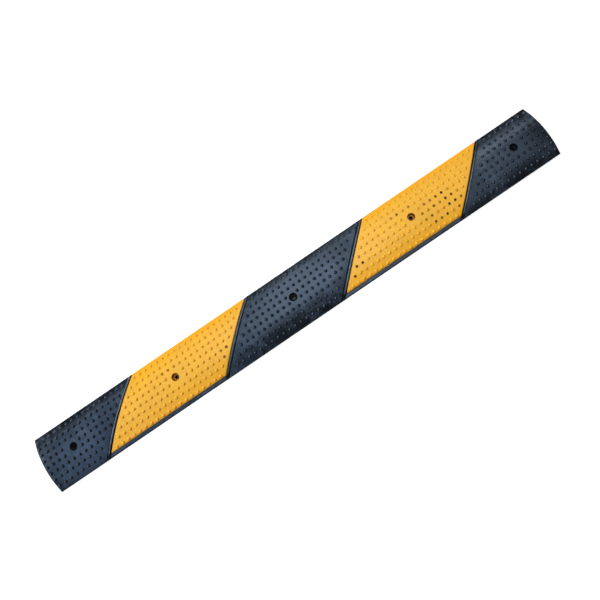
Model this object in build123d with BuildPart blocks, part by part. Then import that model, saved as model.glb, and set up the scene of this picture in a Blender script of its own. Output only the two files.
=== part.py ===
from build123d import *
import os
from math import asin, cos, degrees, floor, hypot, radians, sin, tan

# A low rubber speed bump, one metre long, that is bolted down through five
# counterbored holes. A black base carries five studded treads, black and
# yellow in turn, which meet at slanted beads.
# Millimetres. X runs along the strip, Y across it and Z up from the road.
# The near side, -Y, is the one where the base shows below the yellow treads.

# Strip
length = 1000.0
width = 99.0
crown_height = 15.5  # top of the dome, without the studs
lip_height = 3.0  # upright edge that the dome springs from

# Treads
tread_thickness = 3.0
end_zone = 145.0  # end of the strip to the first bead, on the centre line
centre_zone = 233.0  # bead to bead of the middle tread, on the centre line
near_margin = 6.7  # ledge of the base left clear on the near side of the yellow treads
pattern_shift = 1.0  # how far the studs and holes lie off the middle, away from the ledge

# Beads, measured square to the seam
seam_slant = 46.0  # degrees from straight across the strip
bead_width = 2.6
bead_proud = 0.5
main_groove = 2.0
fine_groove = 0.8

# Studs
stud_pitch = 11.5
stud_base_diameter = 6.0
stud_height = 2.2
stud_root = 0.25  # how deep a stud reaches into its tread
stud_sides = 6
stud_edge_gap = 0.4  # least clear tread between a stud and an edge

# Fixing holes
hole_diameter = 6.5
counterbore_mouth = 14.4  # diameter at the crown
counterbore_floor = 11.5  # diameter at the seat
seat_height = 7.0  # road to the seat of a bolt head
hole_end_distance = 60.0  # end of the strip to its first hole
cup_wall = 0.8  # yellow rubber that lines a counterbore

# Pockets in the underside
pocket_length = 54.0
pocket_width = 20.0
pocket_rib = 6.0
pocket_roof = 2.0  # least rubber of the base above a pocket
hole_land = 6.0  # least solid rubber between a counterbore and a pocket

half_length = length / 2
half_width = width / 2
left_end = Plane.YZ.offset(-half_length)

# Stud grid: one continuous grid over all the treads, in line with the holes
stud_radius = stud_base_diameter / 2
stud_margin = stud_radius + stud_edge_gap
stud_rows = 2 * floor((half_width - stud_margin) / stud_pitch + 0.5)
stud_columns = 2 * floor((half_length - stud_margin) / stud_pitch) + 1


def row_y(row):
    """Place across the strip of a row of studs, or between rows at a half."""
    return pattern_shift + (row - (stud_rows - 1) / 2) * stud_pitch


# Dome: flats along one arc from lip to lip, each row of studs on its own flat
rise = crown_height - lip_height
crown_radius = (half_width**2 + rise**2) / (2 * rise)
arc_centre = crown_height - crown_radius
core_radius = crown_radius - tread_thickness
top = crown_height + bead_proud + stud_height
flat_edges = [
    y
    for y in [row_y(row - 0.5) for row in range(stud_rows + 1)]
    if abs(y) < half_width - stud_edge_gap
]
flat_edges = [-half_width, *flat_edges, half_width]
flat_angles = [asin(y / crown_radius) for y in flat_edges]

# Seams: places of the beads on the centre line, left to right
outer_seam = half_length - end_zone
inner_seam = centre_zone / 2
seams = [-outer_seam, -inner_seam, inner_seam, outer_seam]
slope = tan(radians(seam_slant))

# Holes: one in the middle of the strip, of each yellow tread and near each end
yellow_hole = (inner_seam + outer_seam) / 2
end_hole = half_length - hole_end_distance
holes = [-end_hole, -yellow_hole, 0, yellow_hole, end_hole]
mouth_radius = counterbore_mouth / 2
floor_radius = counterbore_floor / 2


def along_seam(distance):
    """Length along the strip that a distance square to a seam takes up."""
    return distance / cos(radians(seam_slant))


def dome_corners(radius):
    """Corners of the flats, across the strip, at a radius of the dome."""
    return [(radius * sin(a), arc_centre + radius * cos(a)) for a in flat_angles]


def dome_height(radius, y):
    """Height and lean of the flat that lies across from y, at a radius."""
    corners = dome_corners(radius)
    flat = max(i for i, corner in enumerate(corners[:-1]) if corner[0] <= y)
    (y0, z0), (y1, z1) = corners[flat : flat + 2]
    lean = (flat_angles[flat] + flat_angles[flat + 1]) / 2
    return z0 + (z1 - z0) * (y - y0) / (y1 - y0), lean


def dome(radius, inner_radius=0.0):
    """Section of the dome above the lip, from an inner radius out to a radius."""
    with BuildSketch(left_end) as section:
        Polygon(*dome_corners(radius), (0, arc_centre), align=None)
        if inner_radius:
            inner = dome_corners(inner_radius)
            Polygon(*inner, (0, arc_centre), align=None, mode=Mode.SUBTRACT)
        with Locations((0, lip_height)):
            Rectangle(width, top, align=(Align.CENTER, Align.MIN), mode=Mode.INTERSECT)
    return section.sketch


class Zone:
    """Plan of a tread: each end is square at the strip's end or lies on a seam."""

    def __init__(self, left, right, near=-half_width):
        self.left, self.right, self.near = left, right, near

    def end_x(self, end, y):
        place, slanted = end
        return place + y * slope if slanted else place

    def outline(self, near, far):
        return [
            (self.end_x(self.left, near), near),
            (self.end_x(self.right, near), near),
            (self.end_x(self.right, far), far),
            (self.end_x(self.left, far), far),
        ]

    def clearance(self, x, y):
        """Distance from a point on the tread to its nearest edge in plan."""
        gaps = [y - self.near, half_width - y]
        for end, side in ((self.left, 1), (self.right, -1)):
            gap = side * (x - self.end_x(end, y))
            gaps.append(gap / along_seam(1) if end[1] else gap)
        return min(gaps)

    def studs(self, hole_x):
        """Where the stud grid lands clear of the tread's edges and its hole."""
        for column in range(stud_columns):
            x = (column - (stud_columns - 1) / 2) * stud_pitch
            for row in range(stud_rows):
                y = row_y(row)
                from_hole = hypot(x - hole_x, y - pattern_shift) - mouth_radius
                if min(self.clearance(x, y), from_hole) > stud_margin:
                    z, lean = dome_height(crown_radius, y)
                    yield Location((x, y, z), (-degrees(lean), 0, 0))


# The wide groove lies on the yellow side of the outer beads and on the black
# side of the inner ones.
half_bead = bead_width / 2
wide_gap = along_seam(half_bead + main_groove)
fine_gap = along_seam(half_bead + fine_groove)
yellow_near = -half_width + near_margin
zones = {
    "left_black_tread": Zone((-half_length, False), (seams[0] - fine_gap, True)),
    "left_yellow_tread": Zone(
        (seams[0] + wide_gap, True), (seams[1] - fine_gap, True), yellow_near
    ),
    "centre_black_tread": Zone((seams[1] + wide_gap, True), (seams[2] - wide_gap, True)),
    "right_yellow_tread": Zone(
        (seams[2] + fine_gap, True), (seams[3] - wide_gap, True), yellow_near
    ),
    "right_black_tread": Zone((seams[3] + fine_gap, True), (half_length, False)),
}
tread_holes = dict(zip(zones, holes))
yellow_treads = [name for name in zones if "yellow" in name]


def counterbore_radius(z):
    """Radius of a counterbore's tapered side at a height."""
    taper = (mouth_radius - floor_radius) / (crown_height - seat_height)
    return floor_radius + taper * (z - seat_height)


def bolt_space(wall):
    """Half section of a bore and its counterbore, set in by the wall of a lining."""
    bore = hole_diameter / 2
    with BuildSketch(Plane.XZ) as section:
        Polygon(
            (0, 0),
            (bore, 0),
            (bore, seat_height),
            (counterbore_radius(seat_height) - wall, seat_height),
            (counterbore_radius(top) - wall, top),
            (0, top),
            align=None,
        )
    return section.sketch


# What a bolt with its head takes out of the black rubber and of the yellow
with BuildPart() as plain_hole:
    revolve(bolt_space(0), Axis.Z)
with BuildPart() as lined_hole:
    revolve(bolt_space(cup_wall), Axis.Z)

# Cup of yellow rubber that lines a counterbore, before its hole is made
with BuildPart() as cup:
    cup_floor = seat_height - cup_wall
    cup_brim = crown_height - tread_thickness / 2
    with BuildSketch(Plane.XZ) as cup_section:
        Polygon(
            (0, cup_floor),
            (counterbore_radius(cup_floor), cup_floor),
            (counterbore_radius(cup_brim), cup_brim),
            (0, cup_brim),
            align=None,
        )
    revolve(axis=Axis.Z)

# One stud, point up, with its root below the tread surface
with BuildPart() as stud:
    with BuildSketch(Plane.XY.offset(-stud_root)) as stud_base:
        RegularPolygon(stud_radius * (1 + stud_root / stud_height), stud_sides)
    loft([stud_base.sketch.face(), Vertex(0, 0, stud_height)])

# Treads: a layer of the dome cut to each zone's plan, with its hole and studs
treads = {}
for name, zone in zones.items():
    hole_x = tread_holes[name]
    with BuildPart() as tread:
        extrude(dome(crown_radius, core_radius), amount=length)
        with BuildSketch(Plane.XY) as plan:
            Polygon(*zone.outline(zone.near, half_width), align=None)
        extrude(amount=top, mode=Mode.INTERSECT)
        with Locations((hole_x, pattern_shift)):
            if name in yellow_treads:
                add(cup.part)
                add(lined_hole.part, mode=Mode.SUBTRACT)
            else:
                add(plain_hole.part, mode=Mode.SUBTRACT)
        with Locations(*zone.studs(hole_x)):
            add(stud.part, clean=False)
    tread.part.label = name
    treads[name] = tread

# Beads: bars across the dome that stand just proud of the treads
with BuildPart() as beads:
    extrude(dome(crown_radius + bead_proud), amount=length)
    with BuildSketch(Plane.XY) as bead_plan:
        with Locations(*[(x, 0) for x in seams]):
            Rectangle(bead_width, 2 * along_seam(width), rotation=-seam_slant)
    extrude(amount=top, mode=Mode.INTERSECT)

# Base: the dome below the treads on its lip, hollowed from below
with BuildPart() as base:
    extrude(dome(core_radius), amount=length)
    with BuildSketch(left_end) as foot:
        Rectangle(width, lip_height, align=(Align.CENTER, Align.MIN))
    extrude(amount=length)
    add(beads.part)

    # A row of pockets on each side of the solid land that holds the bolts
    pocket_step = pocket_length + pocket_rib
    pocket_count = floor((length - pocket_rib) / pocket_step)
    land_width = 2 * (abs(pattern_shift) + mouth_radius + hole_land)
    outer_wall = dome_height(core_radius, -land_width / 2 - pocket_width)[0]
    with BuildSketch(Plane.XY) as pockets:
        with GridLocations(pocket_step, pocket_width + land_width, pocket_count, 2):
            Rectangle(pocket_length, pocket_width)
    extrude(amount=max(outer_wall, lip_height) - pocket_roof, mode=Mode.SUBTRACT)

    for name, hole_x in tread_holes.items():
        with Locations((hole_x, pattern_shift)):
            add(plain_hole.part, mode=Mode.SUBTRACT)
            if name in yellow_treads:
                add(cup.part, mode=Mode.SUBTRACT)
base.part.label = "base"

os.makedirs("parts", exist_ok=True)
export_step(base.part, "parts/base.step")
for name, tread in treads.items():
    export_step(tread.part, f"parts/{name}.step")
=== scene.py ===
from math import asin, cos, hypot, pi, radians, sin, sqrt, tan

import bmesh
import bpy
from bmesh.types import BMEdge, BMFace, BMVert
from bpy.props import FloatProperty, FloatVectorProperty, IntProperty, PointerProperty
from mathutils import Matrix, Vector, noise


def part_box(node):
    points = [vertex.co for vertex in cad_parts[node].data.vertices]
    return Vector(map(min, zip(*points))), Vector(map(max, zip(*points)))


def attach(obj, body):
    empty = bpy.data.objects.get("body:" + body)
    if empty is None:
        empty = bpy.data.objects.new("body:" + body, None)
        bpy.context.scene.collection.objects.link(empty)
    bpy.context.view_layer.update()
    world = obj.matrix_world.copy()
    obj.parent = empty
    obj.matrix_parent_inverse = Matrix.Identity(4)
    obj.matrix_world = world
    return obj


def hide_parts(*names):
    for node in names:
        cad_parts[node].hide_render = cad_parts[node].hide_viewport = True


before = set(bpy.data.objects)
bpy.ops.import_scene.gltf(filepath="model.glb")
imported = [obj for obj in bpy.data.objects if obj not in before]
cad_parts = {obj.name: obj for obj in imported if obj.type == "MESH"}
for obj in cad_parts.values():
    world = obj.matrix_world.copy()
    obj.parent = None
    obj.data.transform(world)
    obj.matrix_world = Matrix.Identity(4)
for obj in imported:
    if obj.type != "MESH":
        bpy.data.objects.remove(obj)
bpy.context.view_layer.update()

bl_info = {
    "name": "Speed bump",
    "version": (1, 0, 0),
    "blender": (4, 5, 0),
    "location": "3D View > Sidebar > Speed bump",
    "description": "A bolt-down rubber speed bump with black and yellow studded treads",
    "category": "Object",
}

# Metres. X runs along the strip, Y across it and Z up from the road. The near
# side, -Y, is the one where the base shows below the yellow treads.
MM = 0.001
BASE_LOW, BASE_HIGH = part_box("base")

# Points nearer than a touch are one, and in cuts and turned shapes nearer than a hair
TOUCH, HAIR = 1e-6, 1e-7

# Edges that turn by more than this stay sharp
SHARP = radians(38)

# Places of the two materials of a black piece
MOULDED, DULL = 0, 1


def linear(hex_colour):
    """Linear red, green and blue of an sRGB hex colour."""
    parts = [int(hex_colour[i : i + 2], 16) / 255 for i in (1, 3, 5)]
    return tuple(c / 12.92 if c <= 0.04045 else ((c + 0.055) / 1.055) ** 2.4 for c in parts)


def clamp(value, most=1.0):
    """A share kept between nothing and the most it may be."""
    return min(most, max(0.0, value))


def ramp(value, start, full):
    """Share that grows from nothing at a start to all where it is full."""
    return clamp((value - start) / (full - start))


# Sizes and colours


def length_of(name, description, default_mm):
    """A length that the panel shows, with its default in millimetres."""
    return FloatProperty(
        name=name,
        description=description,
        default=default_mm * MM,
        min=0.0,
        unit="LENGTH",
        precision=5,
    )


def count_of(name, description, default, least, most):
    """A count that the panel shows."""
    return IntProperty(name=name, description=description, default=default, min=least, max=most)


def colour_of(name, description, hex_colour):
    """A colour that the panel shows, with its default as an sRGB hex value."""
    return FloatVectorProperty(
        name=name,
        description=description,
        default=linear(hex_colour),
        min=0.0,
        max=1.0,
        subtype="COLOR",
    )


def brightness_of(name, description, default):
    """A brightness that the panel shows, white paper being 1."""
    return FloatProperty(name=name, description=description, default=default, min=0.0)


class StripSizes(bpy.types.PropertyGroup):
    length: length_of("Length", "Strip from end to end", (BASE_HIGH.x - BASE_LOW.x) / MM)
    width: length_of("Width", "Strip from lip to lip", (BASE_HIGH.y - BASE_LOW.y) / MM)
    crown: length_of("Crown", "Top of the dome, without the studs", 15.5)
    lip: length_of("Lip", "Upright edge that the dome springs from", 3.0)
    tread: length_of("Tread", "Thickness of the studded treads", 3.0)
    end_zone: length_of("End zone", "End of the strip to the first bead, on the centre line", 145)
    centre_zone: length_of("Centre zone", "Bead to bead, on the centre line", 233)
    near_margin: length_of("Near margin", "Near side of the strip to the yellow treads", 6.7)
    shift: length_of("Shift", "How far to the far side of the middle the studs and holes lie", 1.0)
    corner: length_of("Corner", "Rounding of a black tread at the ends of the strip", 1.6)
    inset: length_of("Inset", "How far a black tread stands in from the lip", 1.2)
    brow: length_of("Brow", "Rounding of the ledge below the yellow treads", 2.2)
    shoulder: length_of("Shoulder", "Rounding of a black tread where it meets a seam", 0.5)
    rim: length_of("Rim", "Rounding of a yellow tread where it meets a seam or the ledge", 1.6)
    # The deeper colour by the near edge and the clean colour by the far edge are both painted
    # shade: a deeper orange where the yellow takes no sheen
    warm: length_of("Warm", "Reach of the deeper colour along a yellow tread's near edge", 4)
    fade: length_of("Fade", "Reach of the clean colour along a yellow tread's far edge", 13)
    bends: count_of("Bends", "Steps of the dome across the strip", 32, 8, 96)


class SeamSizes(bpy.types.PropertyGroup):
    slant: FloatProperty(
        name="Slant",
        description="Lean of the seams from straight across",
        default=radians(46),
        subtype="ANGLE",
    )
    bead: length_of("Bead", "Width of the bead in a seam", 2.6)
    proud: length_of("Proud", "How far a bead stands out of the treads", 0.5)
    crest: length_of("Crest", "Rise of the rounded crest of a bead", 0.35)
    main_groove: length_of("Main groove", "Open line on one side of a bead", 2.0)
    fine_groove: length_of("Fine groove", "Fine line on the other side of an outer bead", 0.8)
    relief: length_of("Relief", "How far a yellow tread stands back from an inner bead", 1.6)


class StudSizes(bpy.types.PropertyGroup):
    pitch: length_of("Pitch", "Stud to stud, along and across", 11.5)
    diameter: length_of("Diameter", "Foot of a stud", 6.0)
    height: length_of("Height", "Tread to the top of a stud", 2.2)
    root: length_of("Root", "How deep a stud reaches into its tread", 0.3)
    margin: length_of("Margin", "Least distance from the middle of a stud to an edge", 3.4)
    sides: count_of("Sides", "Facets round a stud", 12, 6, 24)


class HoleSizes(bpy.types.PropertyGroup):
    bore: length_of("Bore", "Diameter of a bolt hole", 6.5)
    mouth: length_of("Mouth", "Counterbore diameter at the crown", 14.4)
    floor: length_of("Floor", "Counterbore diameter at its seat", 11.5)
    seat: length_of("Seat", "Road to the seat of a bolt head", 7.0)
    end: length_of("End distance", "End of the strip to its first hole", 60)
    lining: length_of("Lining", "Yellow rubber that lines a counterbore", 0.8)
    round: length_of("Round", "Rounding of a hole's mouth", 0.5)
    sides: count_of("Sides", "Facets round a hole", 32, 16, 64)


class PocketSizes(bpy.types.PropertyGroup):
    length: length_of("Length", "Pocket in the underside, along the strip", 54)
    width: length_of("Width", "Pocket in the underside, across the strip", 20)
    rib: length_of("Rib", "Rubber between two pockets", 6)
    roof: length_of("Roof", "Least rubber of the base above a pocket", 2)
    land: length_of("Land", "Least solid rubber between a counterbore and a pocket", 6)


class RubberColours(bpy.types.PropertyGroup):
    black: colour_of("Black", "Black rubber", "#0c0e11")
    bloom: colour_of("Bloom", "Greyish film on the black rubber", "#2c3440")
    # This pale grey-blue is painted highlight and sheen: on bead crests, hole mouths, the lit side
    # of black studs and in bands along the far side
    dust_and_highlight: colour_of("Dust", "Scuffed and dusty parts of the black rubber", "#59626b")
    sheen: colour_of("Sheen", "Tint of the black rubber's shine", "#bfdcff")
    yellow: colour_of("Yellow", "Yellow rubber", "#eaae2a")
    amber: colour_of("Amber", "Yellow rubber where it is dusty", "#dba030")
    # This lighter yellow is painted highlight, on the side of a yellow stud that faces the light
    lit_highlight: colour_of("Fresh", "Side of a yellow stud that traffic wipes", "#fdbc2a")
    # This deeper orange is painted shade: the yellow where it takes no sheen, on rims, the near
    # side, the far edge and the shaded side of studs
    rim: colour_of("Rim", "Clean yellow rubber on the studs and rims", "#f8a506")
    # This brown is painted shade: the shadow beside the yellow studs and the shade round and down
    # the yellow holes
    shade_brown: colour_of("Grime", "Brown grime beside the yellow studs and in the holes", "#a03400")
    # This near black is real tyre wear on the yellow studs and painted shade down in the yellow
    # holes
    wear_and_shade: colour_of("Worn", "Tyre marks and grime down in the yellow holes", "#101016")


class StudioLight(bpy.types.PropertyGroup):
    softbox: brightness_of("Softbox", "Overhead softbox", 3.75)
    left_panel: brightness_of("Left panel", "Panel over the left end", 1.95)
    right_panel: brightness_of("Right panel", "Panel over the right end", 1.5)
    window: brightness_of("Window", "Low window on the left", 8.0)
    near_panel: brightness_of("Near panel", "Small panel over the near side", 2.0)
    room: brightness_of("Room", "Room round the strip", 0.05)
    daylight: colour_of("Daylight", "Tint of the left panel", "#d8ebff")


class SpeedBump(bpy.types.PropertyGroup):
    strip: PointerProperty(name="Strip", type=StripSizes)
    seams: PointerProperty(name="Seams", type=SeamSizes)
    studs: PointerProperty(name="Studs", type=StudSizes)
    holes: PointerProperty(name="Holes", type=HoleSizes)
    pockets: PointerProperty(name="Pockets", type=PocketSizes)
    rubber: PointerProperty(name="Rubber", type=RubberColours)
    light: PointerProperty(name="Light", type=StudioLight)


# Layout of the strip


def dome_radius(strip):
    """Radius of the dome's arc, from lip to lip over the crown."""
    rise = strip.crown - strip.lip
    return ((strip.width / 2) ** 2 + rise**2) / (2 * rise)


def dome_height(strip, y, drop=0.0):
    """Height across from y of the dome, or of the arc that lies a drop below it."""
    radius = dome_radius(strip)
    return strip.crown - radius + sqrt((radius - drop) ** 2 - y**2)


def along_seam(seams, distance):
    """Length along the strip that a distance square to a seam takes up."""
    return distance / cos(seams.slant)


def square_to_seam(seams):
    """Direction in plan that is square to the seams."""
    return cos(seams.slant), -sin(seams.slant), 0


def seam_places(strip):
    """Where the beads cross the centre line, left to right."""
    outer = strip.length / 2 - strip.end_zone
    inner = strip.centre_zone / 2
    return [-outer, -inner, inner, outer]


def counterbore_radius(bump, z):
    """Radius of a counterbore's tapered side at a height."""
    holes = bump.holes
    taper = (holes.mouth - holes.floor) / 2 / (bump.strip.crown - holes.seat)
    return holes.floor / 2 + taper * (z - holes.seat)


class Tread:
    """Plan of a tread: its ends are square at the strip's end or lie on a seam."""

    def __init__(self, bump, node, left, right, hole_x, yellow):
        self.bump, self.node, self.yellow = bump, node, yellow
        self.left, self.right = left, right
        self.hole = Vector((hole_x, bump.strip.shift))
        half = bump.strip.width / 2
        self.far = half if yellow else half - bump.strip.inset
        self.near = bump.strip.near_margin - half if yellow else bump.strip.inset - half

    def end_x(self, end, y):
        """Where an end of the tread lies along the strip, across from y."""
        place, slanted = end
        return place + y * tan(self.bump.seams.slant) if slanted else place

    def corners(self):
        """Corners of the tread in plan, the near ones first."""
        return [
            (self.end_x(self.left, self.near), self.near),
            (self.end_x(self.right, self.near), self.near),
            (self.end_x(self.right, self.far), self.far),
            (self.end_x(self.left, self.far), self.far),
        ]

    def edge_gaps(self, x, y):
        """Distances from a point on the tread to its near, left, right and far edges."""
        gaps = [y - self.near]
        for end, side in ((self.left, 1), (self.right, -1)):
            gap = side * (x - self.end_x(end, y))
            gaps.append(gap * cos(self.bump.seams.slant) if end[1] else gap)
        return [*gaps, self.far - y]

    def from_hole(self, point):
        """Distance in plan from the middle of the tread's hole."""
        return (point.xy - self.hole).length

    def studs(self):
        """Where the stud grid lands clear of the tread's edges and its hole."""
        studs, strip = self.bump.studs, self.bump.strip
        rows = 2 * int((strip.width / 2 - studs.margin) / studs.pitch + 0.5)
        columns = 2 * int((strip.length / 2 - studs.margin) / studs.pitch) + 1
        for column in range(columns):
            x = (column - (columns - 1) / 2) * studs.pitch
            for row in range(rows):
                y = strip.shift + (row - (rows - 1) / 2) * studs.pitch
                clear = self.from_hole(Vector((x, y))) - self.bump.holes.mouth / 2
                if min(*self.edge_gaps(x, y), clear) > studs.margin:
                    yield x, y


def lay_out(bump):
    """The five treads, left to right."""
    strip, seams = bump.strip, bump.seams
    half = strip.length / 2
    wide, fine, back = (
        along_seam(seams, seams.bead / 2 + gap)
        for gap in (seams.main_groove, seams.fine_groove, seams.relief)
    )
    one, two, three, four = seam_places(strip)
    end_hole = half - bump.holes.end
    plans = (
        ("left_black_tread", (-half, False), (one - fine, True), -end_hole),
        ("left_yellow_tread", (one + wide, True), (two - back, True), (one + two) / 2),
        ("centre_black_tread", (two + wide, True), (three - wide, True), 0.0),
        ("right_yellow_tread", (three + back, True), (four - wide, True), (three + four) / 2),
        ("right_black_tread", (four + fine, True), (half, False), end_hole),
    )
    return [Tread(bump, *plan, yellow="yellow" in plan[0]) for plan in plans]


# Materials

# Colour sockets of a Mix node
MIX_A, MIX_B, MIXED = 6, 7, 2


def add(tree, kind, inputs=(), **settings):
    """Adds a shader node, sets it up and links or sets its inputs, by name or place."""
    node = tree.nodes.new("ShaderNode" + kind)
    for name, value in settings.items():
        setattr(node, name, value)
    for key, value in dict(inputs).items():
        if isinstance(value, bpy.types.NodeSocket):
            tree.links.new(value, node.inputs[key])
        else:
            node.inputs[key].default_value = value
    return node


def blank_material(name):
    """A new material without nodes, and its node tree."""
    material = bpy.data.materials.new(name)
    material.use_nodes = True
    material.node_tree.nodes.clear()
    return material, material.node_tree


def per_metre(size_mm):
    """Noise scale that gives blotches or grains of a size."""
    return 1 / (size_mm * MM)


def mould_tooth(tree, place, strength):
    """Tooth that a blasted mould leaves. It is about 0.3 mm, and drawn at 0.9 mm, or it
    would not show."""
    grain = {"Vector": place, "Scale": per_metre(0.9), "Detail": 2.0}
    tooth = add(tree, "TexNoise", grain)
    return add(
        tree, "Bump", {"Height": tooth.outputs["Fac"], "Strength": strength, "Distance": 0.1 * MM}
    )


def moulded_black_rubber(colours):
    """Carbon-black rubber out of a blasted mould: near black, with a broad bluish
    sheen, a fine tooth, and a thin greyish bloom in uneven patches. A pale grey-blue
    is painted on as highlight and sheen where its vertices ask for it."""
    material, tree = blank_material("moulded_black_rubber")
    place = add(tree, "TexCoord").outputs["Object"]
    patches = add(
        tree, "TexNoise", {"Vector": place, "Scale": per_metre(45), "Detail": 3.0}
    ).outputs["Fac"]
    mottle = add(
        tree, "TexNoise", {"Vector": place, "Scale": per_metre(8), "Detail": 4.0, "Roughness": 0.68}
    ).outputs["Fac"]
    uneven = add(tree, "Math", {0: patches, 1: mottle}, operation="MULTIPLY")
    film = add(tree, "MapRange", {"Value": uneven.outputs[0], "From Min": 0.235, "From Max": 0.385})
    colour = add(
        tree,
        "Mix",
        {"Factor": film.outputs[0], MIX_A: (*colours.black, 1), MIX_B: (*colours.bloom, 1)},
        data_type="RGBA",
    )
    blotches = add(
        tree,
        "MapRange",
        {"Value": mottle, "From Min": 0.3, "From Max": 0.6, "To Min": 0.4, "To Max": 1.2},
    )
    # Painted highlight and sheen, where the vertices carry it
    painted_highlight = add(tree, "Attribute", attribute_name="dust_and_highlight")
    dust_and_highlight = add(
        tree, "Math", {0: painted_highlight.outputs["Fac"], 1: blotches.outputs[0]}, operation="MULTIPLY"
    )
    colour = add(
        tree,
        "Mix",
        {"Factor": dust_and_highlight.outputs[0], MIX_A: colour.outputs[MIXED], MIX_B: (*colours.dust_and_highlight, 1)},
        data_type="RGBA",
    )
    matt = add(
        tree,
        "MapRange",
        {"Value": mottle, "From Min": 0.3, "From Max": 0.7, "To Min": 0.25, "To Max": 0.38},
    )
    polish = add(tree, "Attribute", attribute_name="polish")
    smoother = add(tree, "Math", {0: polish.outputs["Fac"], 1: -0.14}, operation="MULTIPLY")
    roughness = add(tree, "Math", {0: matt.outputs[0], 1: smoother.outputs[0]}, operation="ADD")
    shader = add(
        tree,
        "BsdfPrincipled",
        {
            "Base Color": colour.outputs[MIXED],
            "Roughness": roughness.outputs[0],
            "Normal": mould_tooth(tree, place, 0.25).outputs[0],
            "IOR": 1.6,
            "Specular Tint": (*colours.sheen, 1),
        },
    )
    add(tree, "OutputMaterial", {"Surface": shader.outputs[0]})
    return material


def dull_black_rubber(colours):
    """The same rubber where it is never wiped, on the lip, underneath and down in the
    grooves: dusty and matt, with hardly any shine. On the side of each black stud away
    from the light it stands as painted shade."""
    material, tree = blank_material("dull_black_rubber")
    place = add(tree, "TexCoord").outputs["Object"]
    dust_and_highlight = add(tree, "TexNoise", {"Vector": place, "Scale": per_metre(4), "Detail": 5.0})
    film = add(
        tree,
        "MapRange",
        {"Value": dust_and_highlight.outputs["Fac"], "From Min": 0.4, "From Max": 0.75, "To Max": 0.45},
    )
    colour = add(
        tree,
        "Mix",
        {"Factor": film.outputs[0], MIX_A: (*colours.black, 1), MIX_B: (*colours.bloom, 1)},
        data_type="RGBA",
    )
    grit = add(tree, "Bump", {"Height": dust_and_highlight.outputs["Fac"], "Strength": 0.3, "Distance": 0.2 * MM})
    shader = add(
        tree,
        "BsdfPrincipled",
        {
            "Base Color": colour.outputs[MIXED],
            "Roughness": 0.8,
            "Normal": grit.outputs[0],
            "IOR": 1.52,
            "Specular IOR Level": 0.12,
        },
    )
    add(tree, "OutputMaterial", {"Surface": shader.outputs[0]})
    return material


def black_rubbers(colours):
    """The two looks of the black rubber, in their places on a piece, made only once."""
    return [
        bpy.data.materials.get(rubber.__name__) or rubber(colours)
        for rubber in (moulded_black_rubber, dull_black_rubber)
    ]


def moulded_yellow_rubber(colours):
    """Pigmented yellow rubber out of the same mould: warm and even, a little deeper
    in patches, with a fine tooth and dark tyre marks on rubbed studs. Painted light is
    mixed in where its vertices ask for it: highlights on the lit side of studs, and
    shade in deeper orange, brown and black on rims, studs and holes."""
    material, tree = blank_material("moulded_yellow_rubber")
    place = add(tree, "TexCoord").outputs["Object"]
    patches = add(
        tree, "TexNoise", {"Vector": place, "Scale": per_metre(30), "Detail": 4.0}
    ).outputs["Fac"]
    speckle = add(
        tree, "TexNoise", {"Vector": place, "Scale": per_metre(4), "Detail": 3.0}
    ).outputs["Fac"]
    dusty = add(tree, "Math", {0: patches, 1: speckle}, operation="MULTIPLY")
    deep = add(
        tree,
        "MapRange",
        {"Value": dusty.outputs[0], "From Min": 0.15, "From Max": 0.42, "To Max": 0.8},
    )
    colour = add(
        tree,
        "Mix",
        {"Factor": deep.outputs[0], MIX_A: (*colours.yellow, 1), MIX_B: (*colours.amber, 1)},
        data_type="RGBA",
    )
    # Painted highlight; painted shade in deeper orange and brown; tyre marks and painted black
    # shade
    for mark in ("lit_highlight", "rim", "shade_brown", "wear_and_shade"):
        share = add(tree, "Attribute", attribute_name=mark)
        colour = add(
            tree,
            "Mix",
            {
                "Factor": share.outputs["Fac"],
                MIX_A: colour.outputs[MIXED],
                MIX_B: (*getattr(colours, mark), 1),
            },
            data_type="RGBA",
        )
    roughness = add(
        tree,
        "MapRange",
        {"Value": patches, "From Min": 0.3, "From Max": 0.7, "To Min": 0.32, "To Max": 0.44},
    )
    shader = add(
        tree,
        "BsdfPrincipled",
        {
            "Base Color": colour.outputs[MIXED],
            "Roughness": roughness.outputs[0],
            "Normal": mould_tooth(tree, place, 0.2).outputs[0],
            "IOR": 1.38,
        },
    )
    add(tree, "OutputMaterial", {"Surface": shader.outputs[0]})
    return material


# Mesh helpers


def only(kind, geometry):
    """The vertices, edges or faces among what an operator gives back."""
    return [each for each in geometry if isinstance(each, kind)]


def cut_across(bm, faces, point, normal):
    """Cuts faces along a plane and gives back the pieces of them."""
    edges = dict.fromkeys(e for f in faces for e in f.edges)
    verts = dict.fromkeys(v for f in faces for v in f.verts)
    cut = bmesh.ops.bisect_plane(
        bm, geom=[*verts, *edges, *faces], plane_co=point, plane_no=normal, dist=HAIR
    )
    return only(BMFace, cut["geom"])


def bend_cuts(bm, strip, near, far):
    """Cuts a piece along the lines where it will bend, evenly spaced about the holes."""
    step = strip.width / strip.bends
    sliver = 0.2 * step  # least distance from a line to an edge of the piece
    for i in range(strip.bends + 1):
        y = strip.shift + (i - strip.bends / 2) * step
        if near + sliver < y < far - sliver:
            cut_across(bm, bm.faces[:], (0, y, 0), (0, 1, 0))


def draw_out(bm, faces, way):
    """Draws faces out into a solid."""
    made = bmesh.ops.extrude_face_region(bm, geom=faces, use_keep_orig=True)
    bmesh.ops.translate(bm, verts=only(BMVert, made["geom"]), vec=way)
    bmesh.ops.recalc_face_normals(bm, faces=bm.faces[:])


def round_edges(bm, edges, radius, segments=3):
    """Rounds those of the edges that are still there."""
    bmesh.ops.bevel(
        bm,
        geom=[e for e in edges if e.is_valid],
        offset=radius,
        offset_type="OFFSET",
        segments=segments,
        profile=0.5,
        affect="EDGES",
        clamp_overlap=True,
        material=-1,
    )


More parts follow.
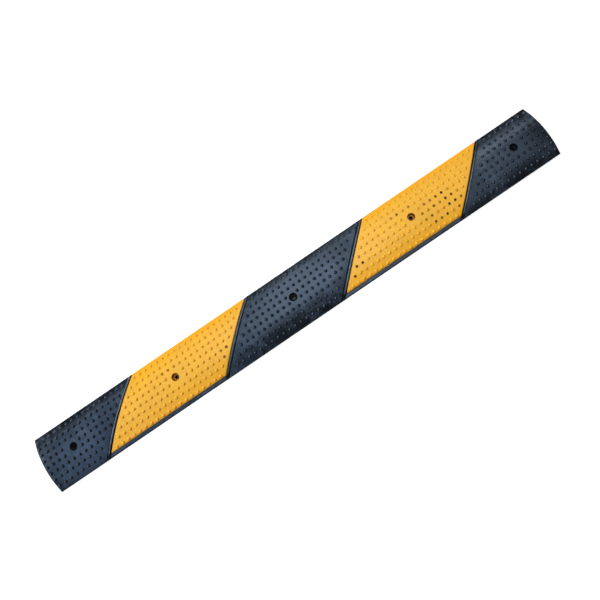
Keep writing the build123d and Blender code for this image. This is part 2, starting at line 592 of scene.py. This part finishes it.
def swing(bm, start, centre, axis, angle, steps):
    """Swings a point round an axis into an arc."""
    bmesh.ops.spin(
        bm,
        geom=[bm.verts.new(start)],
        cent=centre,
        axis=axis,
        dvec=(0, 0, 0),
        angle=angle,
        steps=steps,
    )


def lathe(profile, sides, place=(0, 0)):
    """A closed profile of radius and height, spun about an upright axis."""
    bm = bmesh.new()
    verts = [bm.verts.new((radius, 0, z)) for radius, z in profile]
    for a, b in zip(verts, verts[1:]):
        bm.edges.new((a, b))
    if profile[0][0] > 0:
        bm.edges.new((verts[-1], verts[0]))
    bmesh.ops.spin(
        bm,
        geom=bm.verts[:] + bm.edges[:],
        cent=(0, 0, 0),
        axis=(0, 0, 1),
        dvec=(0, 0, 0),
        angle=2 * pi,
        steps=sides,
        use_merge=True,
    )
    bmesh.ops.remove_doubles(bm, verts=bm.verts[:], dist=HAIR)
    bmesh.ops.recalc_face_normals(bm, faces=bm.faces[:])
    bmesh.ops.translate(bm, verts=bm.verts[:], vec=(*place, 0))
    return bm


def wear_layers(bm, *names):
    """New layers that say how much of each tyre mark and painted light a vertex has."""
    return [bm.verts.layers.float.new(name) for name in names]


def as_mesh(bm, name):
    """Turns a bmesh into a mesh."""
    mesh = bpy.data.meshes.new(name)
    bm.to_mesh(mesh)
    bm.free()
    return mesh


def place_in_scene(context, name, data):
    """An object with a mesh, a lamp or a camera."""
    placed = bpy.data.objects.new(name, data)
    context.collection.objects.link(placed)
    return placed


def join_into(bm, other):
    """Adds another bmesh to this one."""
    mesh = as_mesh(other, "joined")
    bm.from_mesh(mesh)
    bpy.data.meshes.remove(mesh)


def finish_piece(context, bm, name, node, materials):
    """Makes the finished piece, hangs it under the root and hides its CAD node."""
    mesh = as_mesh(bm, name)
    mesh.polygons.foreach_set("use_smooth", [True] * len(mesh.polygons))
    mesh.set_sharp_from_angle(angle=SHARP)
    for material in materials:
        mesh.materials.append(material)
    piece = place_in_scene(context, name, mesh)
    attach(piece, "root")
    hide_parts(node)


# Treads

# Cells on each side of a hole that make room for its rings, and how far each ring is
# drawn from their square to the round mouth
HOLE_CELLS = 4
HOLE_RINGS = (0.5, 0.7, 1.0)

# The mouth of a hole with a little over, as a share of its radius
AT_MOUTH = 1.01


def tread_blank(tread):
    """A tread without its studs: a bent plate with rounded seams and a tapered hole."""
    bump, strip, hole = tread.bump, tread.bump.strip, tread.hole
    lining = bump.holes.lining if tread.yellow else 0.0
    mouth = counterbore_radius(bump, strip.crown) - lining
    foot = counterbore_radius(bump, strip.crown - strip.tread) - lining

    bm = bmesh.new()
    bm.faces.new([bm.verts.new((x, y, 0)) for x, y in tread.corners()])
    bend_cuts(bm, strip, tread.near, tread.far)
    if tread.yellow:
        # The deeper colour starts at these lines
        seam = tread.right[0] - along_seam(bump.seams, strip.warm)
        cut_across(bm, bm.faces[:], (seam, 0, 0), square_to_seam(bump.seams))
        cut_across(bm, bm.faces[:], (0, tread.near + strip.warm, 0), (0, 1, 0))
    open_hole(bm, tread, mouth)
    draw_out(bm, bm.faces[:], (0, 0, -strip.tread))

    # The hole tapers down to its foot
    middle = -strip.tread / 2
    lower = [v for v in bm.verts if v.co.z < middle and tread.from_hole(v.co) < mouth * AT_MOUTH]
    bmesh.ops.scale(
        bm,
        verts=lower,
        vec=(foot / mouth, foot / mouth, 1),
        space=Matrix.Translation((-hole.x, -hole.y, 0)),
    )
    round_tread(bm, tread, mouth)
    mark_blank = shade_blank if tread.yellow else dust_blank
    mark_blank(bm, tread, mouth)

    # Laid over the dome, with the lower side on the core or the lip
    for v in bm.verts:
        if v.co.z > middle:
            v.co.z = max(v.co.z + dome_height(strip, v.co.y), strip.lip)
        else:
            v.co.z = max(dome_height(strip, v.co.y, strip.tread), strip.lip)
    bmesh.ops.remove_doubles(bm, verts=bm.verts[:], dist=TOUCH)
    return bm


def open_hole(bm, tread, mouth):
    """Opens a flat tread: a square of cells gives way to rings that run into a mouth."""
    hole, step = tread.hole, tread.bump.strip.width / tread.bump.strip.bends
    for i in range(-HOLE_CELLS, HOLE_CELLS + 1):
        cut_across(bm, bm.faces[:], (hole.x + i * step, 0, 0), (1, 0, 0))

    def cells_away(point):
        """How many cells from the hole a point is, along or across."""
        return max(map(abs, point.xy - hole)) / step

    square = [f for f in bm.faces if cells_away(f.calc_center_median()) < HOLE_CELLS]
    bmesh.ops.delete(bm, geom=square, context="FACES")
    brink = HOLE_CELLS + 0.1  # its edge, with a little over
    loop = [e for e in bm.edges if e.is_boundary and all(cells_away(v.co) < brink for v in e.verts)]
    for share in HOLE_RINGS:
        made = bmesh.ops.extrude_edge_only(bm, edges=loop)["geom"]
        inner = set(only(BMVert, made))
        loop = [e for e in only(BMEdge, made) if inner.issuperset(e.verts)]
        for v in inner:
            on_rim = hole + mouth * (v.co.xy - hole).normalized()
            v.co.xy = v.co.xy.lerp(on_rim, share)


def round_tread(bm, tread, mouth):
    """Rounds a tread's ends, the near edge of a yellow one, and the mouth of its hole."""
    strip = tread.bump.strip
    shoulders, corners, mouth_edges = [], [], []
    for edge in bm.edges:
        if any(v.co.z < -strip.tread / 2 for v in edge.verts):
            continue
        if max(tread.from_hole(v.co) for v in edge.verts) < mouth * AT_MOUTH:
            mouth_edges.append(edge)
        elif tread.yellow and max(v.co.y for v in edge.verts) < tread.near + TOUCH:
            shoulders.append(edge)
        else:
            for end in (tread.left, tread.right):
                if max(abs(v.co.x - tread.end_x(end, v.co.y)) for v in edge.verts) < TOUCH:
                    (shoulders if end[1] else corners).append(edge)
    round_edges(bm, shoulders, strip.rim if tread.yellow else strip.shoulder, 4)
    if corners:
        round_edges(bm, corners, strip.corner)
    round_edges(bm, mouth_edges, tread.bump.holes.round)


# Depth below the top of a blank where a hole's side starts, and how far the
# painted ring round its mouth reaches
HOLE_SIDE = 0.2 * MM
HOLE_RIM = 0.6 * MM

# Shares on a yellow blank: the most painted shade, in deeper orange, on its near side;
# painted brown shade on the rim of its hole and painted black shade on the hole's side.
# In the lining cup: painted black shade on the seat and on the rest, and painted brown shade.
NEAR_SHADE, RIM_SHADE, SIDE_BLACK = 0.35, 0.25, 0.4
SEAT_BLACK, CUP_BLACK, CUP_SHADE = 0.1, 0.95, 0.15

# Share of the way to the near edge where that painted shade starts, and where it is full
NEAR_START, NEAR_FULL = 0.3, 0.8


def shade_blank(bm, tread, mouth):
    """Paints shade on a yellow tread: deeper orange on its rims, near side and far edge, and brown
    and black round and down its hole.
    """
    strip = tread.bump.strip
    on_right = tread.left[0] > 0
    rim, wear_and_shade, shade_brown = wear_layers(bm, "rim", "wear_and_shade", "shade_brown")
    for v in bm.verts:
        near, left, right, far = tread.edge_gaps(v.co.x, v.co.y)
        near_side = NEAR_SHADE * ramp(-v.co.y / tread.far, NEAR_START, NEAR_FULL)
        warm = 1 - (min(near, right) if on_right else near) / strip.warm
        edge = 1 - min(near, left, right) / strip.rim
        v[rim] = max(near_side, warm, edge, 1 - far / strip.fade)
        # Painted shade round and down the hole: deeper orange and brown at its mouth, black and
        # brown on its side
        if tread.from_hole(v.co) < mouth + HOLE_RIM:
            v[rim], v[shade_brown] = 1.0, RIM_SHADE
            if v.co.z < -HOLE_SIDE:
                v[wear_and_shade], v[shade_brown] = SIDE_BLACK, 1.0


# Bands of painted sheen, lighter in place of reflected light, along the far side of
# the black treads: the middle and the reach across the strip, in millimetres, and how strong
SHEEN_BANDS = {
    "left_black_tread": (33, 8, 0.25),
    "centre_black_tread": (38, 14, 0.2),
    "right_black_tread": (25, 15, 0.6),
}
# How much painted highlight rings the mouth of a black tread's hole
MOUTH_HIGHLIGHT = 0.3


def dust_blank(bm, tread, mouth):
    """Paints a band of sheen along a black tread and a highlight round the mouth of its hole."""
    (dust_and_highlight,) = wear_layers(bm, "dust_and_highlight")
    middle, reach, mark_share = SHEEN_BANDS[tread.node]
    for v in bm.verts:
        v[dust_and_highlight] = mark_share * ramp(abs(v.co.y / MM - middle), reach, 0)
        if abs(tread.from_hole(v.co) - mouth) < HOLE_RIM and v.co.z > -HOLE_SIDE:
            v[dust_and_highlight] = MOUTH_HIGHLIGHT


def lining_cup(bump, place):
    """Yellow cup that carries a tread's hole down to the seat of the bolt head."""
    strip, holes = bump.strip, bump.holes
    brim = strip.crown - strip.tread + 0.1 * MM  # it reaches just into the tread
    floor = holes.seat - holes.lining
    profile = [
        (holes.bore / 2, floor),
        (counterbore_radius(bump, floor), floor),
        (counterbore_radius(bump, brim), brim),
        (counterbore_radius(bump, brim) - holes.lining, brim),
        (counterbore_radius(bump, holes.seat) - holes.lining, holes.seat),
        (holes.bore / 2, holes.seat),
    ]
    bm = lathe(profile, holes.sides, place)
    # The cup is painted dark as shade, all but the lit outer part of its seat, with a little brown
    wear_and_shade, shade_brown = wear_layers(bm, "wear_and_shade", "shade_brown")
    for v in bm.verts:
        on_seat = abs(v.co.z - holes.seat) < TOUCH
        lit_seat = on_seat and (v.co.xy - place).length > 0.6 * holes.bore
        v[wear_and_shade] = SEAT_BLACK if lit_seat else CUP_BLACK
        v[shade_brown] = CUP_SHADE
    return bm


# Studs

# Side of a stud, from its foot up, as shares of its radius and its height
STUD_SIDE = ((0.97, 0.05), (0.82, 0.33), (0.59, 0.65), (0.30, 0.90))

# The side of a stud away from the light, as a direction along and across the strip;
# how strong the painted brown shadow is there, and the share of it that is lost by the far edge
SHADED_SIDE = Vector((0.88, -0.47))
STUD_SHADOW = {"left_yellow_tread": (0.88, 0.55), "right_yellow_tread": (0.4, 1.0)}

# Where tyres have rubbed studs dark: the middle along and across the strip, the
# reach along and across, all in millimetres, and how dark
TYRE_MARKS = (
    (286, -11, 50, 28, 1.0),
    (114, -20, 22, 22, 1.0),
    (226, 15, 30, 10, 0.7),
    (-243, 17, 20, 9, 0.6),
    (-144, -11, 14, 13, 0.6),
)

# Share of the way up a stud where its rubbed tip starts, and where it is all dark
TIP_START, TIP_FULL = 0.35, 0.6

# Shares round a yellow stud: painted highlight in the middle, less of it towards the shaded
# side, and the most of it; painted shade in deeper orange in the middle, and more of it towards the
# shaded side
LIT_MIDDLE, LIT_LOSS, LIT_MOST = 0.3, 1.2, 0.55
SHADE_MIDDLE, SHADE_GAIN = 0.1, 0.5

# Painted highlight on the side of the black studs towards the light: the most of it, and
# the share of the way to the strip's edges where it starts and where it is full
STUD_HIGHLIGHT, HIGHLIGHT_START, HIGHLIGHT_FULL = 0.4, 0.32, 0.72

# A black stud keeps its shine above this share of its height, and this share of its radius
# and more towards the light; the rest takes the dull rubber as painted shade
SHINY_ABOVE, SHINY_AWAY = 0.4, 0.05

# Past this share of the way to the far edge, the black studs shine all round
SHINY_ROWS = 0.75


def stud_mesh(studs, black):
    """One stud: a steep cone with a rounded tip. A black one takes the dull rubber as painted
    shade, all but its cap on the side towards the light.
    """
    radius, height = studs.diameter / 2, studs.height
    side = [(share * radius, rise * height) for share, rise in STUD_SIDE]
    bm = lathe([(0, -studs.root), (radius, -studs.root), *side, (0, height)], studs.sides)
    for face in bm.faces:
        middle = face.calc_center_median()
        away = -middle.xy.dot(SHADED_SIDE)
        lit_cap = middle.z > SHINY_ABOVE * height and away > SHINY_AWAY * radius
        face.material_index = DULL if black and not lit_cap else MOULDED
    return as_mesh(bm, "stud")


def stud_wear(x, y):
    """How dark the tip of a stud is rubbed, by the tyre marks that reach it: all dark to
    two thirds of their reach, and uneven from stud to stud."""
    wear = 0.0
    for along, across, reach_x, reach_y, darkness in TYRE_MARKS:
        away = hypot((x / MM - along) / reach_x, (y / MM - across) / reach_y)
        wear = max(wear, darkness * ramp(away, 1, 2 / 3))
    return min(1.0, wear * (0.8 + 0.6 * noise.cell(Vector((x, y, 0)) / (5 * MM))))


def stud_field(tread, stud):
    """All the studs of a tread, set square to the dome."""
    strip, studs = tread.bump.strip, tread.bump.studs
    bm = bmesh.new()
    wear_and_shade, lit_highlight, rim, shade_brown, polish, dust_and_highlight = wear_layers(
        bm, "wear_and_shade", "lit_highlight", "rim", "shade_brown", "polish", "dust_and_highlight"
    )
    mark_share, far_loss = STUD_SHADOW.get(tread.node, (0.0, 0.0))
    for x, y in tread.studs():
        before = len(bm.verts)
        bm.from_mesh(stud)
        bm.verts.ensure_lookup_table()
        new = bm.verts[before:]
        wear = stud_wear(x, y) if tread.yellow else 0.0
        lee_shadow = mark_share * (1 - far_loss * max(0.0, y / tread.far))
        painted_highlight = STUD_HIGHLIGHT * ramp(abs(y) / tread.far, HIGHLIGHT_START, HIGHLIGHT_FULL)
        for v in new:
            # Tyre marks darken rubbed tips; the rest is painted light: a highlight on the side
            # towards the light, deeper orange and a brown shadow on the shaded side, and a pale
            # highlight on black studs low on the dome
            rise = v.co.z / studs.height
            toward_shade = v.co.xy.dot(SHADED_SIDE) / (studs.diameter / 2)
            v[wear_and_shade] = wear * ramp(rise, TIP_START, TIP_FULL)
            v[lit_highlight] = clamp(LIT_MIDDLE - LIT_LOSS * toward_shade, LIT_MOST)
            v[rim] = SHADE_MIDDLE + SHADE_GAIN * max(0.0, toward_shade)
            v[shade_brown] = lee_shadow * max(0.0, toward_shade)
            v[polish] = 1.0
            v[dust_and_highlight] = painted_highlight * ramp(-toward_shade, 0, 0.5)
        if y > SHINY_ROWS * tread.far:
            for face in {f for v in new for f in v.link_faces}:
                face.material_index = MOULDED
        lean = Matrix.Rotation(-asin(y / dome_radius(strip)), 4, "X")
        stand = Matrix.Translation((x, y, dome_height(strip, y)))
        bmesh.ops.transform(bm, matrix=stand @ lean, verts=new)
    return bm


def make_treads(context, yellow, materials):
    """Makes the treads of one colour."""
    bump = context.scene.speed_bump
    stud = stud_mesh(bump.studs, black=not yellow)
    for tread in lay_out(bump):
        if tread.yellow != yellow:
            continue
        bm = tread_blank(tread)
        if yellow:
            join_into(bm, lining_cup(bump, tread.hole))
        join_into(bm, stud_field(tread, stud))
        finish_piece(context, bm, tread.node + "_moulding", tread.node, materials)
    bpy.data.meshes.remove(stud)


class SPEEDBUMP_OT_black_treads(bpy.types.Operator):
    """Make the three black studded treads"""

    bl_idname = "speedbump.black_treads"
    bl_label = "Black treads"

    def execute(self, context):
        colours = context.scene.speed_bump.rubber
        make_treads(context, False, black_rubbers(colours))
        return {"FINISHED"}


class SPEEDBUMP_OT_yellow_treads(bpy.types.Operator):
    """Make the two yellow studded treads with the cups that line their holes"""

    bl_idname = "speedbump.yellow_treads"
    bl_label = "Yellow treads"

    def execute(self, context):
        colours = context.scene.speed_bump.rubber
        make_treads(context, True, [moulded_yellow_rubber(colours)])
        return {"FINISHED"}


# Base

# How much painted highlight lies along the crest of each bead, left to right, in the
# middle and how much of that is left at the far side
BEAD_HIGHLIGHT = ((1.0, 1.0), (0.5, 1.0), (0.85, 0.5), (0.8, 0.1))


def base_body(bump):
    """The core of the dome on its lip, from end to end."""
    strip = bump.strip
    radius = dome_radius(strip) - strip.tread
    centre = strip.crown - dome_radius(strip)
    foot = sqrt(radius**2 - (strip.lip - centre) ** 2)
    half, end = strip.width / 2, -strip.length / 2
    bm = bmesh.new()
    swing(
        bm,
        start=(end, foot, strip.lip),
        centre=(end, 0, centre),
        axis=(1, 0, 0),
        angle=2 * asin(foot / radius),
        steps=strip.bends,
    )
    arc = sorted(bm.verts, key=lambda v: v.co.y)
    lip = [
        bm.verts.new((end, y, z))
        for y, z in ((half, strip.lip), (half, 0), (-half, 0), (-half, strip.lip))
    ]
    draw_out(bm, [bm.faces.new([*arc, *lip])], (strip.length, 0, 0))

    # The near edge is rounded where it shows as a ledge, below the yellow treads
    treads = [tread for tread in lay_out(bump) if tread.yellow]
    for place, _ in (end for tread in treads for end in (tread.left, tread.right)):
        ledge = [
            f
            for f in bm.faces
            if abs(f.normal.x) < 0.5
            and all(v.co.y < -foot + TOUCH and v.co.z < strip.lip + TOUCH for v in f.verts)
        ]
        cut_across(bm, ledge, (place, 0, 0), square_to_seam(bump.seams))
    brow = []
    for edge in bm.edges:
        middle = (edge.verts[0].co + edge.verts[1].co) / 2
        on_edge = all(
            abs(v.co.y + half) < TOUCH and abs(v.co.z - strip.lip) < TOUCH for v in edge.verts
        )
        if on_edge and below_yellow(treads, middle):
            brow.append(edge)
    round_edges(bm, brow, strip.brow, 5)
    return bm


def below_yellow(treads, point):
    """Whether a point lies between the two seams of a yellow tread."""
    return any(t.end_x(t.left, point.y) < point.x < t.end_x(t.right, point.y) for t in treads)


def sink_pockets(bm, bump):
    """Two rows of pockets in the underside, beside the land that holds the bolts."""
    strip, pockets = bump.strip, bump.pockets
    land = abs(strip.shift) + bump.holes.mouth / 2 + pockets.land
    outer = land + pockets.width
    step = pockets.length + pockets.rib
    count = int((strip.length - pockets.rib) / step)
    middles = [(i - (count - 1) / 2) * step for i in range(count)]
    faces = [f for f in bm.faces if f.normal.z < -0.99]
    for y in (-outer, -land, land, outer):
        faces = cut_across(bm, faces, (0, y, 0), (0, 1, 0))
    for middle in middles:
        for x in (middle - pockets.length / 2, middle + pockets.length / 2):
            faces = cut_across(bm, faces, (x, 0, 0), (1, 0, 0))
    roofs = []
    for face in faces:
        place = face.calc_center_median()
        in_pocket = any(abs(place.x - middle) < pockets.length / 2 for middle in middles)
        if in_pocket and land < abs(place.y) < outer:
            roofs.append(face)
    depth = max(dome_height(strip, outer, strip.tread), strip.lip) - pockets.roof
    raised = bmesh.ops.extrude_discrete_faces(bm, faces=roofs)["faces"]
    bmesh.ops.translate(bm, verts=[v for f in raised for v in f.verts], vec=(0, 0, depth))


def hole_cutters(bump):
    """What the bolts take out of the base, with room for the yellow cups."""
    strip, holes = bump.strip, bump.holes
    below = -1 * MM  # the cutters start under the road
    cutters = bmesh.new()
    for tread in lay_out(bump):
        seat = holes.seat - (holes.lining if tread.yellow else 0.0)
        profile = [
            (0, below),
            (holes.bore / 2, below),
            (holes.bore / 2, seat),
            (counterbore_radius(bump, seat), seat),
            (counterbore_radius(bump, strip.crown), strip.crown),
            (0, strip.crown),
        ]
        join_into(cutters, lathe(profile, holes.sides, tread.hole))
    return cutters


def cut_out(context, bm, cutters):
    """Takes the cutters out of a closed mesh with an exact Boolean."""
    body = place_in_scene(context, "body", as_mesh(bm, "body"))
    tool = place_in_scene(context, "cutters", as_mesh(cutters, "cutters"))
    boolean = body.modifiers.new("holes", "BOOLEAN")
    boolean.operation, boolean.solver, boolean.object = "DIFFERENCE", "EXACT", tool
    depsgraph = context.evaluated_depsgraph_get()
    result = bpy.data.meshes.new_from_object(body.evaluated_get(depsgraph))
    made = bmesh.new()
    made.from_mesh(result)
    # A mesh takes its object with it
    for mesh in (result, body.data, tool.data):
        bpy.data.meshes.remove(mesh)
    return made


def scuff_base(bm, bump):
    """Leaves the shine on the level ledge below the yellow treads and scuffs the rest."""
    top = bump.strip.lip + 0.1 * MM
    treads = [tread for tread in lay_out(bump) if tread.yellow]
    for face in bm.faces:
        middle = face.calc_center_median()
        level = face.normal.z > 0.95 and middle.y < 0 and middle.z < top
        face.material_index = MOULDED if level and below_yellow(treads, middle) else DULL


def bead(bump, place, crest_highlight, far_share):
    """One slanted bead: a bar with a rounded crest, bent over the dome."""
    strip, seams = bump.strip, bump.seams
    half, reach = strip.width / 2, along_seam(seams, strip.width)
    radius = ((seams.bead / 2) ** 2 + seams.crest**2) / (2 * seams.crest)
    below = -strip.tread - 0.5 * MM  # its foot, sunk into the core
    lowest = 0.3 * MM  # how near to the road its foot may come
    bm = bmesh.new()
    (dust_and_highlight,) = wear_layers(bm, "dust_and_highlight")
    swing(
        bm,
        start=(seams.bead / 2, -reach, seams.proud - seams.crest),
        centre=(0, -reach, seams.proud - radius),
        axis=(0, -1, 0),
        angle=2 * asin(seams.bead / 2 / radius),
        steps=6,
    )
    crest = sorted(bm.verts, key=lambda v: v.co.x)
    # The crest carries a painted highlight
    for v in crest[1:-1]:
        v[dust_and_highlight] = crest_highlight
    foot = [bm.verts.new((side * seams.bead / 2, -reach, below)) for side in (1, -1)]
    draw_out(bm, [bm.faces.new([*crest, *foot])], (0, 2 * reach, 0))
    slant = Matrix.Rotation(-seams.slant, 3, "Z")
    bmesh.ops.rotate(bm, verts=bm.verts[:], cent=(0, 0, 0), matrix=slant)
    bmesh.ops.translate(bm, verts=bm.verts[:], vec=(place, 0, 0))

    # Trimmed a hair inside the lip, and bent
    for side in (1, -1):
        trimmed = bmesh.ops.bisect_plane(
            bm,
            geom=bm.verts[:] + bm.edges[:] + bm.faces[:],
            plane_co=(0, side * (half - 0.02 * MM), 0),
            plane_no=(0, side, 0),
            clear_outer=True,
        )
        bmesh.ops.holes_fill(bm, edges=only(BMEdge, trimmed["geom_cut"]))
    bend_cuts(bm, strip, -half, half)
    for v in bm.verts:
        # The painted highlight fades out towards the near side, where the beads lie in shade
        near_share = max(0.1, ramp(v.co.y, -half, -half / 2))
        v[dust_and_highlight] *= near_share * (1 - (1 - far_share) * max(0.0, v.co.y / half))
        v.co.z = max(v.co.z + dome_height(strip, v.co.y), lowest)
    bmesh.ops.recalc_face_normals(bm, faces=bm.faces[:])
    for face in bm.faces:
        on_ledge = face.calc_center_median().y < strip.near_margin - half
        face.material_index = DULL if on_ledge else MOULDED
    return bm


class SPEEDBUMP_OT_base(bpy.types.Operator):
    """Make the black base with its lip, beads, pockets and bolt holes"""

    bl_idname = "speedbump.base"
    bl_label = "Base"

    def execute(self, context):
        bump = context.scene.speed_bump
        bm = base_body(bump)
        sink_pockets(bm, bump)
        bm = cut_out(context, bm, hole_cutters(bump))
        scuff_base(bm, bump)
        for place, crest_highlight in zip(seam_places(bump.strip), BEAD_HIGHLIGHT):
            join_into(bm, bead(bump, place, *crest_highlight))
        materials = black_rubbers(bump.rubber)
        finish_piece(context, bm, "base_moulding", "base", materials)
        return {"FINISHED"}


# Stage

WHITE = linear("#ffffff")

# The floor: half its side, how far its dark middle stays in under the strip, the grey
# of the paper and of the ground in the dark, and the glow that lifts the paper to white
FLOOR_REACH = 1.0
DARK_INSET = 5 * MM
PAPER, DARK = linear("#e1e1e1"), linear("#272727")
PAPER_GLOW = 0.45


class SPEEDBUMP_OT_stage(bpy.types.Operator):
    """Set up the white floor, the softbox, the room and the camera"""

    bl_idname = "speedbump.stage"
    bl_label = "Stage"

    def execute(self, context):
        light = context.scene.speed_bump.light
        self.floor(context)
        self.lamps(context, light)
        self.room(context, light)
        self.camera(context)
        context.scene.view_settings.view_transform = "Standard"
        return {"FINISHED"}

    def floor(self, context):
        """White paper that the camera sees as white and that still takes a shadow."""
        strip = context.scene.speed_bump.strip
        along, across = strip.length / 2 - DARK_INSET, strip.width / 2 - DARK_INSET
        bm = bmesh.new()
        bmesh.ops.create_grid(bm, x_segments=1, y_segments=1, size=FLOOR_REACH)
        for side in (1, -1):
            cut_across(bm, bm.faces[:], (side * along, 0, 0), (1, 0, 0))
            cut_across(bm, bm.faces[:], (0, side * across, 0), (0, 1, 0))
        for face in bm.faces:
            middle = face.calc_center_median()
            face.material_index = int(abs(middle.x) < along and abs(middle.y) < across)
        mesh = as_mesh(bm, "paper_floor")

        paper, tree = blank_material("white_paper")
        path = add(tree, "LightPath")
        seen = path.outputs["Is Camera Ray"]
        for ray in ("Is Glossy Ray", "Is Transmission Ray"):
            either = {0: seen, 1: path.outputs[ray]}
            seen = add(tree, "Math", either, operation="MAXIMUM").outputs[0]
        lift = add(tree, "Math", {0: seen, 1: PAPER_GLOW}, operation="MULTIPLY")
        sheet = add(tree, "BsdfDiffuse", {"Color": (*PAPER, 1)})
        glow = add(tree, "Emission", {"Color": (*WHITE, 1), "Strength": lift.outputs[0]})
        both = add(tree, "AddShader", {0: sheet.outputs[0], 1: glow.outputs[0]})
        add(tree, "OutputMaterial", {"Surface": both.outputs[0]})
        mesh.materials.append(paper)

        # The dark middle is painted shade: the ground under the strip, seen only through the bolt
        # holes
        ground, tree = blank_material("shaded_ground")
        dark = add(tree, "BsdfPrincipled", {"Base Color": (*DARK, 1)})
        add(tree, "OutputMaterial", {"Surface": dark.outputs[0]})
        mesh.materials.append(ground)
        place_in_scene(context, "paper_floor", mesh)

    def lamps(self, context, light):
        """A softbox over the middle and far side, dimmer panels over the ends and the near
        side, and a low window that faces the strip from the left."""
        down = Vector((0, 0, -1))
        window = Vector((-2.05, 0.5, 0.72))
        for name, place, way, size, colour in (
            ("softbox", (0.03, 0.95, 1.6), down, (0.95, 2.5), WHITE),
            ("left_panel", (-1.33, -0.1, 1.6), down, (1.15, 3.5), light.daylight),
            ("right_panel", (1.18, 0.98, 1.6), down, (0.86, 3.4), WHITE),
            ("near_panel", (0.5, -0.65, 1.6), down, (0.4, 0.6), WHITE),
            ("window", window, -window, (0.9, 0.6), WHITE),
        ):
            lamp = bpy.data.lights.new(name, "AREA")
            lamp.shape, lamp.size, lamp.size_y = "RECTANGLE", *size
            lamp.energy = getattr(light, name) * pi * size[0] * size[1]
            lamp.color = colour
            holder = place_in_scene(context, name, lamp)
            holder.location = place
            holder.rotation_euler = way.to_track_quat("-Z", "Y").to_euler()

    def room(self, context, light):
        """A dim room that the camera sees as white."""
        world = bpy.data.worlds.new("room")
        world.use_nodes = True
        tree = world.node_tree
        tree.nodes.clear()
        path = add(tree, "LightPath")
        seen = add(
            tree,
            "Math",
            {0: path.outputs["Is Camera Ray"], 1: path.outputs["Is Transmission Ray"]},
            operation="MAXIMUM",
        )
        dim = add(tree, "Background", {"Color": (*WHITE, 1), "Strength": light.room})
        white = add(tree, "Background", {"Color": (*WHITE, 1), "Strength": 1.0})
        both = add(tree, "MixShader", {0: seen.outputs[0], 1: dim.outputs[0], 2: white.outputs[0]})
        add(tree, "OutputWorld", {"Surface": both.outputs[0]})
        context.scene.world = world

    def camera(self, context):
        """High over the near side, turned so that the strip runs up to the right."""
        elevation, yaw, roll = radians(78.67), radians(0.759), radians(34.938)
        distance = 0.932
        frame_pixels, focal_pixels, shift_pixels = 600, 554.51, (5.73, -1.5)
        across = Vector((cos(yaw), sin(yaw), 0))
        back = Vector(
            (sin(yaw) * cos(elevation), -cos(yaw) * cos(elevation), sin(elevation))
        )
        up = back.cross(across)
        right = cos(roll) * across - sin(roll) * up
        top = sin(roll) * across + cos(roll) * up
        data = bpy.data.cameras.new("camera")
        data.sensor_width = 36.0
        data.lens = focal_pixels / frame_pixels * data.sensor_width
        data.shift_x, data.shift_y = (pixels / frame_pixels for pixels in shift_pixels)
        camera = place_in_scene(context, "camera", data)
        aim = Vector((0, context.scene.speed_bump.strip.shift, 0))
        turn = Matrix((right, top, back)).transposed().to_4x4()
        camera.matrix_world = Matrix.Translation(aim + distance * back) @ turn
        context.scene.camera = camera


# Panel


class SPEEDBUMP_PT_pieces(bpy.types.Panel):
    """Lists the pieces of the speed bump and its sizes"""

    bl_idname = "SPEEDBUMP_PT_pieces"
    bl_label = "Speed bump"
    bl_space_type = "VIEW_3D"
    bl_region_type = "UI"
    bl_category = "Speed bump"

    def draw(self, context):
        layout = self.layout
        for operator in OPERATORS:
            layout.operator(operator.bl_idname)
        bump = context.scene.speed_bump
        for group in SpeedBump.__annotations__:
            box = layout.box()
            box.label(text=group.capitalize())
            values = getattr(bump, group)
            for name in values.__annotations__:
                box.prop(values, name)


OPERATORS = (
    SPEEDBUMP_OT_base,
    SPEEDBUMP_OT_black_treads,
    SPEEDBUMP_OT_yellow_treads,
    SPEEDBUMP_OT_stage,
)
CLASSES = (
    StripSizes,
    SeamSizes,
    StudSizes,
    HoleSizes,
    PocketSizes,
    RubberColours,
    StudioLight,
    SpeedBump,
    *OPERATORS,
    SPEEDBUMP_PT_pieces,
)


def register():
    for each in CLASSES:
        bpy.utils.register_class(each)
    bpy.types.Scene.speed_bump = PointerProperty(type=SpeedBump)


def unregister():
    del bpy.types.Scene.speed_bump
    for each in reversed(CLASSES):
        bpy.utils.unregister_class(each)


def main():
    register()
    bpy.ops.speedbump.base()
    bpy.ops.speedbump.black_treads()
    bpy.ops.speedbump.yellow_treads()
    bpy.ops.speedbump.stage()


if __name__ == "__main__":
    main()
